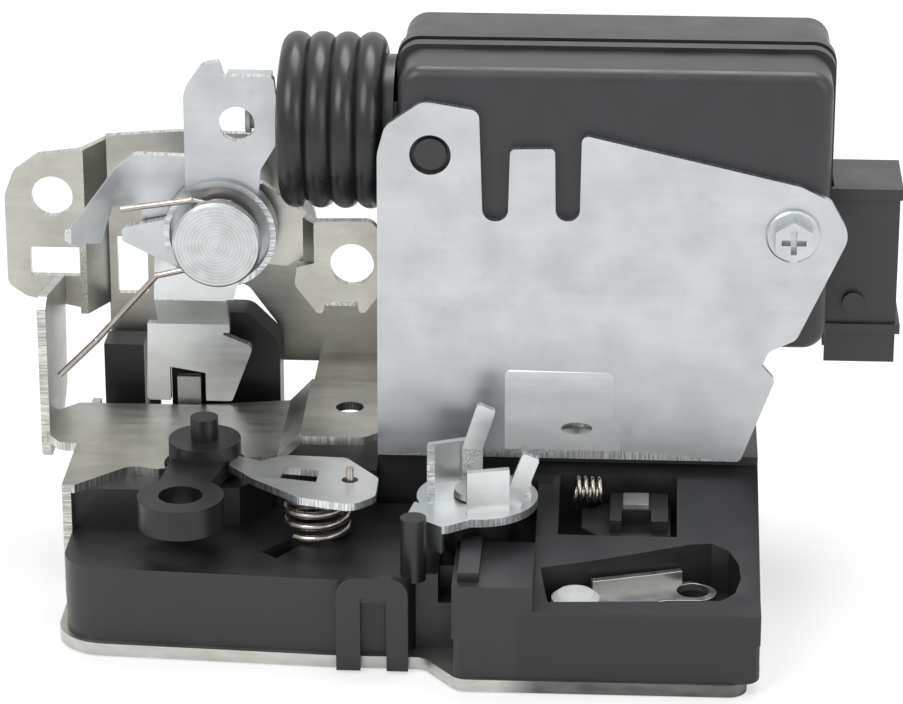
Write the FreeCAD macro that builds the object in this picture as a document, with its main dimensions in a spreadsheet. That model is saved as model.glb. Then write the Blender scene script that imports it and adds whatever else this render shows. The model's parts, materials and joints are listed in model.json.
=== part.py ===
import FreeCAD, Part
import math
import os
from types import SimpleNamespace

import Sketcher

# Car door lock, lying on its striker plate. Millimetres, +Z up.
# X runs along the plate, Y goes away from the side that carries the levers.
# The origin is the axis of the middle tapped hole, on the plate's outer face.

SIZES = {
    # striker plate and what is cut in it
    "plate_thick": 2.0,
    "plate_left": -60.4,
    "plate_right": 48.3,
    "plate_back": 41.0,
    "plate_front_left": -21.6,
    "plate_front_mid": -24.3,
    "plate_front_right": -31.6,
    "plate_corner": 8.0,
    "tap_radius": 2.5,
    "tap_collar": 4.2,
    "tap_depth": 5.0,
    "left_tap_x": -50.0,
    "left_tap_y": -11.5,
    "right_tap_x": 38.0,
    "right_tap_y": 2.0,
    "mouth_x": -6.0,
    "mouth_width": 13.0,
    "mouth_end": 9.0,
    "mouth_roof": 16.0,
    # claw and pawl
    "fork_x": -20.0,
    "fork_y": 20.0,
    "fork_radius": 18.0,
    "fork_thick": 4.0,
    "fork_low": 2.4,
    "fork_open": 52.0,
    "slot_width": 9.8,
    "slot_reach": 14.0,
    "pin_radius": 4.0,
    "pawl_x": -46.0,
    "pawl_y": 7.0,
    "pawl_hub": 6.5,
    "pawl_pin_radius": 3.5,
    "nose_gap": 0.35,
    "stalk_wide": 3.8,
    "stalk_thick": 1.5,
    "stalk_x": -44.5,
    "stalk_y": 29.2,
    "stalk_top": 26.6,
    "cavity_gap": 0.8,
    "fork_coil_length": 5.6,
    "fork_coil_wire": 1.2,
    "pawl_coil_length": 5.0,
    "pawl_coil_wire": 1.0,
    "coil_gap": 0.7,
    "coil_lift": 1.4,
    # fits
    "run_fit": 0.06,
    "air": 0.3,
    "wide_air": 0.4,
    # housing
    "deck_top": 14.3,
    "floor_top": 9.5,
    "rim_top": 13.3,
    "post_x": -4.8,
    "post_y": -20.0,
    "post_radius": 2.0,
    "post_top": 23.5,
    # frame
    "sheet": 1.4,
    "shelf_top": 22.2,
    "step_top": 26.0,
    "shelf_back": 26.4,
    "frame_left": -60.5,
    "frame_right": -12.1,
    "wall_y": 41.0,
    "tab_y": 35.0,
    "tab_left": -74.9,
    "tab_top": 62.0,
    "tab_hole_x": -67.1,
    "tab_hole_z": 54.9,
    "tab_hole": 3.4,
    # lever stud and its levers
    "stud_x": -37.4,
    "stud_z": 56.0,
    "stud_radius": 4.0,
    "stud_head": 7.0,
    "head_front": 9.6,
    "head_thick": 1.9,
    "coil_length": 4.7,
    "coil_radius": 5.6,
    "coil_wire": 1.0,
    "lever_thick": 1.6,
    "hub_radius": 7.6,
    "ring_radius": 8.9,
    "crank_hole": 2.85,
    "crank_hole_x": -34.5,
    "crank_hole_up": 0.6,
    "outer_hole": 3.5,
    "outer_hole_x": -16.8,
    "outer_hole_z": 50.2,
    # bracket
    "bracket_y": 5.5,
    "bracket_thick": 1.5,
    "bracket_left": -12.0,
    "bracket_foot": 22.9,
    "flange_back": 38.2,
    "pad_hole_x": -3.6,
    "pad_hole_z": 73.0,
    "pad_hole": 3.2,
    "screw_x": 52.4,
    "screw_z": 61.0,
    "screw_radius": 2.0,
    "base_hole_x": 19.3,
    "base_hole_y": 14.2,
    "base_hole": 2.5,
    # actuator
    "case_left": -8.7,
    "case_right": 58.0,
    "case_low": 41.2,
    "case_top": 86.4,
    "case_split": 20.0,
    "case_back": 38.0,
    "case_wall": 1.8,
    "case_round": 3.6,
    "case_edge": 2.0,
    "seal_thick": 1.2,
    "rod_y": 21.0,
    "rod_z": 73.4,
    "rod_radius": 3.0,
    "neck_radius": 1.6,
    "boot_left": -27.9,
    "boot_radius": 13.9,
    "boot_wall": 1.2,
    "boot_crest": 2.35,
    "boot_collar": 1.0,
    "band_out": 0.9,
    "band_wide": 2.4,
    "neck_length": 4.0,
    "ear_thick": 1.2,
    "motor_radius": 9.5,
    "motor_x": 27.5,
    "motor_length": 27.0,
    "motor_z": 53.4,
    "worm_radius": 3.0,
    "wheel_x": 16.0,
    "wheel_radius": 8.2,
    "pinion_radius": 4.0,
    "connector_left": 59.0,
    "connector_right": 69.4,
    "connector_low": 35.8,
    "connector_top": 64.9,
    "connector_front": 17.0,
    "connector_back": 31.0,
    # ring lever, link plate and spring
    "hub_x": -39.1,
    "hub_y": 2.6,
    "hub_top": 26.4,
    "hub_outer": 5.7,
    "ring_x": -41.0,
    "ring_y": -14.6,
    "ring_outer": 6.7,
    "ring_hole": 3.4,
    "ring_top": 24.0,
    "ring_thick": 4.8,
    "link_top": 24.0,
    "link_thick": 1.2,
    "detent_x": -20.7,
    "detent_y": -5.4,
    "detent_radius": 4.9,
    "detent_wire": 1.2,
    # key cylinder crank
    "key_x": 4.4,
    "key_y": -7.4,
    "key_disc": 9.4,
    "key_low": 20.6,
    "key_sheet": 1.3,
    "key_pin": 2.5,
    # slide and toggle lever
    "slide_low": 13.0,
    "slide_top": 18.6,
    "toggle_x": 20.1,
    "toggle_y": -22.9,
    "toggle_pin": 1.8,
    "toggle_head": 3.7,
    "toggle_low": 9.9,
    "toggle_thick": 1.2,
    "toggle_hole_x": 38.0,
    "toggle_hole_y": -17.4,
    "toggle_hole": 2.5,
}

doc = FreeCAD.newDocument("DoorLock")
sheet = doc.addObject("Spreadsheet::Sheet", "Sizes")
for row, (name, value) in enumerate(SIZES.items(), 1):
    sheet.set(f"A{row}", name)
    sheet.set(f"B{row}", str(value))
    sheet.setAlias(f"B{row}", name)
doc.recompute()


class Size:
    """A number that carries the sheet expression it was worked out from."""

    def __init__(self, value, text):
        self.value = value
        self.text = text

    def __add__(self, other):
        other = as_size(other)
        return Size(self.value + other.value, f"({self.text} + {other.text})")

    def __sub__(self, other):
        other = as_size(other)
        return Size(self.value - other.value, f"({self.text} - {other.text})")

    def __mul__(self, other):
        other = as_size(other)
        return Size(self.value * other.value, f"({self.text} * {other.text})")

    def __truediv__(self, other):
        other = as_size(other)
        return Size(self.value / other.value, f"({self.text} / {other.text})")

    def __neg__(self):
        return Size(-self.value, f"(0 - {self.text})")

    def __radd__(self, other):
        return as_size(other) + self

    def __rsub__(self, other):
        return as_size(other) - self

    def __rmul__(self, other):
        return as_size(other) * self


def as_size(number):
    if isinstance(number, Size):
        return number
    return Size(float(number), f"({float(number)})")


d = SimpleNamespace(**{name: Size(value, f"Sizes.{name}") for name, value in SIZES.items()})
parts = {}

# Each plane's role, and which way its normal points along the axis it stands on.
PLANES = {"XY": ("XY_Plane", 1), "XZ": ("XZ_Plane", -1), "YZ": ("YZ_Plane", 1)}


class Piece:
    """One sub-part: a body with its sketches and features."""

    def __init__(self, name):
        self.body = doc.addObject("PartDesign::Body", name)
        self.body.Label = name
        self.steps = 0
        parts[name] = self.body

    def feature(self, kind, word):
        self.steps += 1
        return self.body.newObject(kind, f"{self.body.Label}_{word}{self.steps}")

    def sketch(self, plane, level, loops):
        role, sign = PLANES[plane]
        made = self.feature("Sketcher::SketchObject", "sketch")
        face = next(item for item in self.body.Origin.OriginFeatures if item.Role == role)
        made.AttachmentSupport = [(face, "")]
        made.MapMode = "FlatFace"
        offset = sign * as_size(level)
        made.AttachmentOffset = FreeCAD.Placement(FreeCAD.Vector(0, 0, offset.value), FreeCAD.Rotation())
        made.setExpression("AttachmentOffset.Base.z", offset.text)
        for loop in loops:
            if isinstance(loop, tuple):
                draw_circle(made, *loop)
            else:
                draw_outline(made, loop)
        return made

    def pad(self, plane, low, high, *loops):
        """Adds the outline from one level to the other along the plane's axis."""
        low, high = as_size(low), as_size(high)
        profile = self.sketch(plane, low, loops)
        made = self.feature("PartDesign::Pad", "pad")
        made.Profile = profile
        made.Length = (high - low).value
        made.setExpression("Length", (high - low).text)
        made.Reversed = PLANES[plane][1] < 0
        doc.recompute()
        self.round_corners(plane, low.value, high.value, loops)
        return self

    def pocket(self, plane, low, high, *loops):
        """Cuts the outline from one level to the other along the plane's axis."""
        low, high = as_size(low), as_size(high)
        before = self.body.Tip.Shape.Volume
        profile = self.sketch(plane, low, loops)
        made = self.feature("PartDesign::Pocket", "pocket")
        made.Profile = profile
        made.Length = (high - low).value
        made.setExpression("Length", (high - low).text)
        made.Reversed = PLANES[plane][1] > 0
        doc.recompute()
        if made.Shape.Volume > before - 0.001:
            raise RuntimeError(f"{made.Name} cuts nothing")
        self.round_corners(plane, low.value, high.value, loops)
        return self

    def turn(self, *profile):
        """Turns an outline of radius and height about the upright axis."""
        outline = self.sketch("XZ", 0, [list(profile)])
        made = self.feature("PartDesign::Revolution", "turned")
        made.Profile = outline
        made.ReferenceAxis = (outline, ["V_Axis"])
        made.Angle = 360.0
        doc.recompute()
        return self

    def round_corners(self, plane, low, high, loops):
        """Rounds the corners whose third number is a radius."""
        wanted = {}
        for loop in loops:
            if isinstance(loop, list):
                for corner in loop:
                    if len(corner) == 3:
                        radius = as_size(corner[2])
                        wanted.setdefault(radius.text, (radius, []))[1].append(corner)
        for radius, corners in wanted.values():
            base = self.body.Tip
            names = []
            for corner in corners:
                place = (as_size(corner[0]).value, as_size(corner[1]).value)
                names += edges_at(base.Shape, plane, place, low, high)
            if not names:
                raise RuntimeError(f"no corner found on {self.body.Label} near {place}")
            made = self.feature("PartDesign::Fillet", "round")
            made.Base = (base, names)
            made.Radius = radius.value
            made.setExpression("Radius", radius.text)
            doc.recompute()
            if "Invalid" in made.State:
                raise RuntimeError(f"rounding failed on {self.body.Label} near {place}")

    def soften(self, plane, level, radius, wanted):
        """Rounds the edges that lie at a level; wanted picks them by their middle point."""
        axis = {"XY": 2, "XZ": 1, "YZ": 0}[plane]
        level, radius = as_size(level), as_size(radius)
        base = self.body.Tip
        names = []
        for number, edge in enumerate(base.Shape.Edges, 1):
            span = edge.BoundBox
            low = (span.XMin, span.YMin, span.ZMin)[axis]
            high = (span.XMax, span.YMax, span.ZMax)[axis]
            if abs(low - level.value) < 0.01 and abs(high - level.value) < 0.01 and wanted(edge.CenterOfMass):
                names.append(f"Edge{number}")
        made = self.feature("PartDesign::Fillet", "round")
        made.Base = (base, names)
        made.Radius = radius.value
        made.setExpression("Radius", radius.text)
        doc.recompute()
        if not names or "Invalid" in made.State:
            raise RuntimeError(f"rounding failed on {self.body.Label} at {level.value}")

    def place(self, x=0, y=0, z=0, axis=(0, 0, 1), angle=0):
        """Sets the finished piece down at its place."""
        spot = [as_size(x), as_size(y), as_size(z)]
        angle = as_size(angle)
        turn = FreeCAD.Rotation(FreeCAD.Vector(*axis), angle.value)
        self.body.Placement = FreeCAD.Placement(FreeCAD.Vector(*[item.value for item in spot]), turn)
        for letter, item in zip("xyz", spot):
            self.body.setExpression(f"Placement.Base.{letter}", item.text)
        return self


def edges_at(shape, plane, place, low, high):
    """Names the straight edges that run along the plane's normal at a corner."""
    across = {"XY": (0, 1, 2), "XZ": (0, 2, 1), "YZ": (1, 2, 0)}[plane]
    found = []
    for number, edge in enumerate(shape.Edges, 1):
        if edge.Curve.TypeId != "Part::GeomLine" or len(edge.Vertexes) != 2:
            continue
        ends = [tuple(vertex.Point) for vertex in edge.Vertexes]
        at_corner = all(
            abs(end[across[0]] - place[0]) < 0.001 and abs(end[across[1]] - place[1]) < 0.001 for end in ends
        )
        inside = all(low - 0.001 < end[across[2]] < high + 0.001 for end in ends)
        if at_corner and inside:
            found.append(f"Edge{number}")
    return found


def tie(sketch, kind, edge, spot, size):
    index = sketch.addConstraint(Sketcher.Constraint(kind, -1, 1, edge, spot, size.value))
    sketch.setExpression(f"Constraints[{index}]", size.text)


def draw_outline(sketch, corners):
    """Draws a closed run of straight lines, each corner tied to its sizes."""
    spots = [(as_size(corner[0]), as_size(corner[1])) for corner in corners]
    first = sketch.GeometryCount
    points = [FreeCAD.Vector(across.value, up.value, 0) for across, up in spots]
    for here, there in zip(points, points[1:] + points[:1]):
        sketch.addGeometry(Part.LineSegment(here, there), False)
    for number, (across, up) in enumerate(spots):
        after = first + (number + 1) % len(spots)
        sketch.addConstraint(Sketcher.Constraint("Coincident", first + number, 2, after, 1))
    for number, (across, up) in enumerate(spots):
        tie(sketch, "DistanceX", first + number, 1, across)
        tie(sketch, "DistanceY", first + number, 1, up)


def draw_circle(sketch, across, up, radius):
    across, up, radius = as_size(across), as_size(up), as_size(radius)
    centre = FreeCAD.Vector(across.value, up.value, 0)
    number = sketch.addGeometry(Part.Circle(centre, FreeCAD.Vector(0, 0, 1), radius.value), False)
    tie(sketch, "DistanceX", number, 3, across)
    tie(sketch, "DistanceY", number, 3, up)
    index = sketch.addConstraint(Sketcher.Constraint("Radius", number, radius.value))
    sketch.setExpression(f"Constraints[{index}]", radius.text)


def box(left, right, low, high):
    """The four corners of an upright rectangle."""
    return [(left, low), (right, low), (right, high), (left, high)]


# Levels that several pieces share
block_top = d.shelf_top - d.sheet
coil_front = d.head_front + d.head_thick + d.air
crank_front = coil_front + d.coil_length + d.air
crank_back = crank_front + d.lever_thick
inside_front = crank_back + d.wide_air
inside_back = inside_front + d.lever_thick
outside_front = inside_back + d.wide_air
outside_back = outside_front + d.lever_thick
release_front = outside_back + d.wide_air
release_back = release_front + d.lever_thick
bore_radius = d.stud_radius + d.run_fit
bracket_back = d.bracket_y + d.bracket_thick
mouth_left = d.mouth_x - d.mouth_width / 2
mouth_right = d.mouth_x + d.mouth_width / 2
fork_top = d.fork_low + d.fork_thick
neck_end = d.boot_left - 0.8
TAPS = [(as_size(0), as_size(0)), (d.left_tap_x, d.left_tap_y), (d.right_tap_x, d.right_tap_y)]


def make_face_plate():
    """Steel plate that faces the striker, with its mouth and three tapped collars."""
    plate = Piece("face_plate")
    outline = [
        (d.plate_left, d.plate_back, 1.5),
        (d.plate_left, d.plate_front_left, d.plate_corner),
        (-17, d.plate_front_mid),
        (-3, d.plate_front_mid, 3),
        (2.5, d.plate_front_right, 3),
        (d.plate_right - 2, d.plate_front_right, 3),
        (d.plate_right - 2, d.plate_front_right + 5),
        (d.plate_right, d.plate_front_right + 7),
        (d.plate_right, d.plate_back, 4),
        (mouth_right, d.plate_back),
        (mouth_right, d.mouth_end, 5),
        (mouth_left, d.mouth_end, 5),
        (mouth_left, d.plate_back),
    ]
    holes = [(x, y, d.tap_radius) for x, y in TAPS]
    pins = [(d.fork_x, d.fork_y, d.pin_radius), (d.pawl_x, d.pawl_y, d.pawl_pin_radius)]
    plate.pad("XY", 0, d.plate_thick, outline, *holes, *pins)
    for x, y in TAPS:
        plate.pad("XY", d.plate_thick / 2, d.tap_depth, (x, y, d.tap_collar), (x, y, d.tap_radius))


def make_fork():
    """Claw with a radial slot for the striker, a catch notch and a lightening cut."""
    fork = Piece("fork")
    half = d.slot_width / 2
    fork.pad("XY", 0, d.fork_thick, (0, 0, d.fork_radius), (0, 0, d.pin_radius + d.run_fit))
    seat = d.slot_reach - half / 2
    fork.pocket("XY", 0, d.fork_thick, box(seat, d.fork_radius + 2, -half, half))
    fork.pocket("XY", 0, d.fork_thick, (seat, 0, half))
    catch = [(-d.fork_radius - 2, -4.5), (-d.fork_radius + 3, -4.5), (-d.fork_radius + 3, 1.5), (-d.fork_radius - 2, 3.5)]
    fork.pocket("XY", 0, d.fork_thick, catch)
    cut = [(-19, -19), (1, -19), (1, -9), (-8, -8), (-19, -8)]
    fork.pocket("XY", 0, d.fork_thick, cut)
    fork.place(d.fork_x, d.fork_y, d.fork_low, (0, 0, 1), d.fork_open)
    fork.body.setExpression("Placement.Rotation.Angle", d.fork_open.text)


def make_pins():
    """Shouldered pins riveted in the plate; the claw and the pawl turn on them."""
    for name, x, y, radius in (
        ("fork_pin", d.fork_x, d.fork_y, d.pin_radius),
        ("pawl_pin", d.pawl_x, d.pawl_y, d.pawl_pin_radius),
    ):
        pin = Piece(name)
        pin.turn((0, 0.2), (radius, 0.2), (radius, block_top - 2), (radius - 1, block_top), (0, block_top))
        pin.place(x, y)


def make_pawl():
    """Pawl whose nose rests by the claw's rim and whose stalk rises to the release lever."""
    pawl = Piece("pawl")
    tip = d.fork_x - d.fork_radius - d.nose_gap
    foot = d.stalk_y - d.stalk_thick
    body = [
        (d.pawl_x - 4, d.pawl_y),
        (d.pawl_x - 4, foot + d.stalk_thick),
        (d.stalk_x + d.stalk_wide / 2, foot + d.stalk_thick),
        (d.stalk_x + d.stalk_wide / 2, foot - 3),
        (tip - 4, d.fork_y + 4),
        (tip - 1, d.fork_y + 2, 0.8),
        (tip, d.fork_y - 2, 0.8),
        (tip - 4, d.fork_y - 4),
        (d.pawl_x + 4, d.pawl_y),
    ]
    hole = (d.pawl_x, d.pawl_y, d.pawl_pin_radius + d.run_fit)
    pawl.pad("XY", d.fork_low, fork_top, body)
    pawl.pad("XY", d.fork_low, fork_top, (d.pawl_x, d.pawl_y, d.pawl_hub))
    pawl.pocket("XY", d.fork_low, fork_top, hole)
    left = d.stalk_x - d.stalk_wide / 2
    right = d.stalk_x + d.stalk_wide / 2
    pawl.pad("XZ", foot, foot + d.stalk_thick, box(left, right, d.fork_low + 1, d.stalk_top))


def make_housing():
    """Moulded body: deck, blocks under the shelf, cavities for claw and pawl, posts and clips."""
    house = Piece("latch_housing")
    back = d.plate_back - 2
    left = d.frame_left + d.sheet
    low = d.plate_thick
    left_corner = (left, d.plate_front_left + 1)
    mid_corner = (-5, d.plate_front_mid + 1.2)
    deck = [
        (left, back),
        left_corner,
        (-17, d.plate_front_mid + 1),
        mid_corner,
        (-4.4, -20.5),
        (1.6, -20.5),
        (1.6, d.plate_front_right + 0.5, 1.5),
        (d.plate_right - 0.2, d.plate_front_right + 0.5, 2.5),
        (d.plate_right - 0.2, back),
    ]
    house.pad("XY", low, d.floor_top, deck)
    left_deck = [
        (left, 6),
        left_corner,
        (-17, d.plate_front_mid + 1),
        mid_corner,
        (-4.4, -20.5),
        (-1, -20.5),
        (-1, 6),
    ]
    house.pad("XY", d.floor_top, d.deck_top, left_deck)
    house.round_corners("XY", low.value, d.deck_top.value, [[(*left_corner, 6), (*mid_corner, 3)]])
    rear_block = [
        (left, -5.5),
        (-44, -5.5),
        (-33, -4),
        (-28, 3.4),
        (d.frame_right, 4),
        (d.frame_right, d.shelf_back),
        (left, d.shelf_back),
    ]
    house.pad("XY", d.floor_top - 1, block_top, rear_block)
    # right block: its top climbs gently towards the back, up to the bracket's foot
    right = d.plate_right - 0.2
    front = d.plate_front_right + 0.5
    slope = [(front, d.floor_top - 1), (front, d.rim_top), (-25, d.rim_top), (7.5, d.bracket_foot - 1.4), (7.5, d.floor_top - 1)]
    house.pad("YZ", 13.6, right, slope)
    house.pad("XY", d.floor_top - 1, d.bracket_foot, box(d.frame_right, right, bracket_back + 0.5, 31))
    house.pad("XY", d.floor_top - 1, block_top, box(-2, 16, d.key_y + d.key_disc + 0.6, bracket_back + 1))
    # corner block with its ramp tooth
    house.pad("XY", d.floor_top - 1, 17.2, box(1.6, 13.7, front, -14.3))
    house.pad("XY", d.floor_top - 1, 18.6, box(2.4, 5.6, front + 2, -15.3))
    # boss under the key crank, and the low floor around it
    house.pad("XY", d.floor_top - 1, d.deck_top - 1, box(-2, 14, -15, 6))
    house.pad("XY", d.floor_top, d.key_low - d.air, (d.key_x, d.key_y, 5))
    # back towers behind the levers
    tower = [(-48, block_top - 14), (-30, block_top - 14), (-30, 31, 3), (-35, 36, 3), (-48, 36)]
    house.pad("XZ", 33, back, tower)
    house.pad("XY", d.floor_top - 1, 30, box(left, -52.5, 33, back))
    # post, and the snap clip that grips the plate's edge
    house.pad("XY", d.deck_top - 1, d.post_top, (d.post_x, d.post_y, d.post_radius))
    clip_back = d.plate_front_mid - 0.1
    arch = [(-16.3, 0.3), (-16.3, 15.8, 3), (-5.3, 15.8, 3), (-5.3, 0.3), (-8.6, 0.3), (-8.6, 12.4), (-12.6, 12.4), (-12.6, 0.3)]
    house.pad("XZ", clip_back - 1.5, clip_back, arch)
    house.pad("XZ", clip_back - 1, clip_back + 4, box(-15.6, -6, 11.5, 14))
    # lever pivot boss on the block
    house.pad("XY", block_top - 3, block_top + d.air, (d.hub_x, d.hub_y, d.hub_outer - 1))
    # cavities, cut from below
    house.pocket("XY", low, fork_top + 1.0, (d.fork_x, d.fork_y, d.fork_radius + d.cavity_gap))
    pawl_room = [(-57.4, -1.5), (-36.5, -1.5), (-33, 10), (-33, 32.5), (-57.4, 32.5)]
    house.pocket("XY", low, fork_top + 1.0, pawl_room)
    house.pocket("XY", fork_top, block_top + 2, box(-53.5, -41.2, d.shelf_back, 32.4))
    house.pocket("XY", low, d.mouth_roof, box(mouth_left, mouth_right, d.mouth_end, back + 1))
    for x, y in TAPS:
        side = d.tap_collar + d.air
        square = [(x - side, y - side, 2), (x + side, y - side, 2), (x + side, y + side, 2), (x - side, y + side, 2)]
        house.pocket("XY", low, d.tap_depth + 1, square)
    for x, y, radius in (
        (d.fork_x, d.fork_y, d.pin_radius),
        (d.pawl_x, d.pawl_y, d.pawl_pin_radius),
    ):
        house.pocket("XY", fork_top, block_top, (x, y, radius))
    for x, y, pin, wire, length in (
        (d.fork_x, d.fork_y, d.pin_radius, d.fork_coil_wire, d.fork_coil_length),
        (d.pawl_x, d.pawl_y, d.pawl_pin_radius, d.pawl_coil_wire, d.pawl_coil_length),
    ):
        house.pocket("XY", fork_top, fork_top + d.coil_lift + length + d.air, (x, y, pin + d.coil_gap + wire + d.air))
    house.pocket("XY", low, 11.5, box(-46, -20, -18.5, -6))
    house.pocket("XY", low, 7.6, box(6, 46, -29, -8))
    house.pocket("XY", low, 18.5, box(4, 30, 9, 28))
    house.pocket("XY", 18, d.bracket_foot, (d.base_hole_x, d.base_hole_y, d.base_hole))
    # openings on the deck side
    house.pocket("XY", 11.9, 16, [(-28.9, -13.6), (-26.2, -16), (-22.4, -10), (-24.6, -8.6)])
    curved = [
        (14.6, -18.6),
        (24, -16.3),
        (37.6, -12.3),
        (40.8, -12),
        (43.4, -13.6),
        (44.9, -16.8),
        (45.2, -20.2),
        (44.3, -23.6),
        (42, -25.7),
        (16, -27.4),
    ]
    house.pocket("XY", d.floor_top - 0.6, 20, curved)
    house.pocket("XY", d.slide_low - d.air, 25, box(17, 35.4, -10.6, 4.4))
    house.pocket("XY", low, d.key_low, (d.key_x, d.key_y, d.key_pin))


def make_bumper():
    """Rubber stop at the end of the striker mouth."""
    bumper = Piece("striker_bumper")
    outline = [
        (mouth_left + 0.1, d.mouth_end),
        (mouth_right - 0.1, d.mouth_end),
        (mouth_right - 0.1, d.mouth_end + 5, 1),
        (d.mouth_x, d.mouth_end + 3),
        (mouth_left + 0.1, d.mouth_end + 5, 1),
    ]
    bumper.pad("XY", fork_top + 1.6, d.mouth_roof, outline)


def make_frame():
    """Pressed steel frame: side flange, stepped shelf, back wall, tab and brace."""
    frame = Piece("frame_plate")
    left = d.frame_left
    inner = left + d.sheet
    side = [
        (-7.4, d.plate_thick, 2),
        (28.5, d.plate_thick),
        (28.5, d.shelf_top),
        (-7.4, d.shelf_top),
    ]
    frame.pad("YZ", left, inner, side)
    shelf = [
        (left, -7.4),
        (left + 2, -7.4),
        (-50.6, 0.8, 3),
        (-46.4, -0.6, 1.5),
        (-33.4, 4.6),
        (-27.9, 6.2),
        (-27.9, 29.2),
        (-43, d.shelf_back),
        (-62.4, d.shelf_back),
        (-66.4, 22),
        (-66.4, 14),
        (-63.4, 9.6, 1),
        (left, 9.2),
    ]
    frame.pad("XY", block_top, d.shelf_top, shelf)
    frame.pocket("XY", block_top, d.shelf_top, (d.hub_x, d.hub_y, d.hub_outer + 0.8))
    step = [
        (-28, block_top),
        (-28, d.shelf_top),
        (-24.4, d.step_top),
        (-23.6, d.step_top),
        (-23.6, d.step_top - d.sheet),
        (-24, d.step_top - d.sheet),
    ]
    frame.pad("XZ", 5.6, 29.2, step)
    high = [(-24, 5), (d.frame_right - 2, 5, 1.5), (d.frame_right, 7), (d.frame_right, d.wall_y + d.sheet), (-24, d.wall_y + d.sheet)]
    frame.pad("XY", d.step_top - d.sheet, d.step_top, high)
    frame.pocket("XY", d.step_top - d.sheet, d.step_top, (-17.3, 17.5, 2.25))
    wall = [
        (-59, 0.2),
        (-51, 0.2),
        (-51, 32),
        (-47, 38, 2),
        (-36, 38, 2),
        (-31, 31),
        (-31, d.step_top - d.sheet),
        (d.frame_right, d.step_top - d.sheet),
        (d.frame_right, 37.2, 2),
        (-22.8, 37.6, 2),
        (-24.6, 51, 5),
        (-30.5, 64, 5),
        (-46.6, 64.4, 3),
        (-59, 63.4),
    ]
    frame.pad("XZ", d.wall_y, d.wall_y + d.sheet, wall)
    frame.pocket("XZ", d.wall_y, d.wall_y + d.sheet, (d.stud_x, d.stud_z, d.stud_radius - 0.6))
    frame.pocket("XZ", d.wall_y, d.wall_y + d.sheet, box(-57.5, -52.5, 36, 46))
    joggle = [
        (-58.2, d.wall_y),
        (-58.2, d.wall_y + d.sheet),
        (-59.2, d.wall_y + d.sheet),
        (-62.4, d.tab_y + d.sheet),
        (-63, d.tab_y + d.sheet),
        (-63, d.tab_y),
        (-61.8, d.tab_y),
        (-58.8, d.wall_y),
    ]
    frame.pad("XY", 34.5, 62.9, joggle)
    tab = [
        (-62.4, 35.5),
        (d.tab_left + 3, 37.5, 2),
        (d.tab_left, 39.6, 2),
        (d.tab_left, 55, 3),
        (d.tab_left + 1.5, 59, 2),
        (-69.4, d.tab_top, 2),
        (-62.4, d.tab_top + 0.9),
    ]
    hole = (d.tab_hole_x, d.tab_hole_z, d.tab_hole)
    frame.pad("XZ", d.tab_y, d.tab_y + d.sheet, tab)
    frame.pocket("XZ", d.tab_y, d.tab_y + d.sheet, hole)
    frame.pocket("XZ", d.tab_y, d.tab_y + d.sheet, box(-71, -62.9, 41.1, 46.1))
    # brace from the shelf's ear up and back to the tab
    brace = [
        (13.4, 17.6, 2),
        (26, 17.6, 2),
        (33, 23),
        (34.4, 38.6),
        (d.tab_y + d.sheet, 39.8),
        (d.tab_y + d.sheet, 41),
        (16, 44.8, 2),
        (13.4, 43.4),
    ]
    frame.pad("YZ", -66.8, -66.8 + d.sheet, brace)


def make_stud():
    """Turned stud with a broad flat head, riveted through the back wall."""
    stud = Piece("pivot_stud")
    shoulder = release_back + d.air
    head_back = d.head_front + d.head_thick
    stud.turn(
        (0, d.head_front),
        (d.stud_head - 0.4, d.head_front),
        (d.stud_head, d.head_front + 0.4),
        (d.stud_head, head_back),
        (d.stud_radius, head_back),
        (d.stud_radius, shoulder),
        (d.stud_radius + 2, shoulder),
        (d.stud_radius + 2, d.wall_y),
        (d.stud_radius - 0.6, d.wall_y),
        (d.stud_radius - 0.6, d.wall_y + d.sheet),
        (d.stud_radius + 1, d.wall_y + d.sheet),
        (d.stud_radius + 0.4, d.wall_y + d.sheet + 1.4),
        (0, d.wall_y + d.sheet + 1.4),
    )
    stud.place(d.stud_x, 0, d.stud_z, (1, 0, 0), -90)


def coil_shape(radius, wire, turns, length, legs):
    """A round-wire coil along +Z with straight legs; each leg is a pair of points."""
    pitch = (length - wire) / turns
    helix = Part.makeLongHelix(pitch, length - wire, radius)
    start = FreeCAD.Vector(radius, 0, 0)
    ring = Part.Wire([Part.Circle(start, FreeCAD.Vector(0, 1, pitch / (2 * math.pi * radius)), wire / 2).toShape()])
    solid = Part.Wire(helix.Edges).makePipeShell([ring], True, True)
    solid.translate(FreeCAD.Vector(0, 0, wire / 2))
    pieces = [solid]
    for leg in legs:
        run = [FreeCAD.Vector(*point) for point in leg]
        for here, there in zip(run, run[1:]):
            pieces.append(Part.makeCylinder(wire / 2, (there - here).Length, here, there - here))
        pieces += [Part.makeSphere(wire / 2 + 0.05, bend) for bend in run[1:-1]]
    return pieces[0].multiFuse(pieces[1:]) if legs else solid


def add_shape(name, shape, x=0, y=0, z=0, axis=(0, 0, 1), angle=0):
    made = doc.addObject("Part::Feature", name)
    made.Label = name
    made.Shape = shape
    spot = [as_size(item) for item in (x, y, z)]
    turn = FreeCAD.Rotation(FreeCAD.Vector(*axis), angle)
    made.Placement = FreeCAD.Placement(FreeCAD.Vector(*[item.value for item in spot]), turn)
    parts[name] = made


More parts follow.
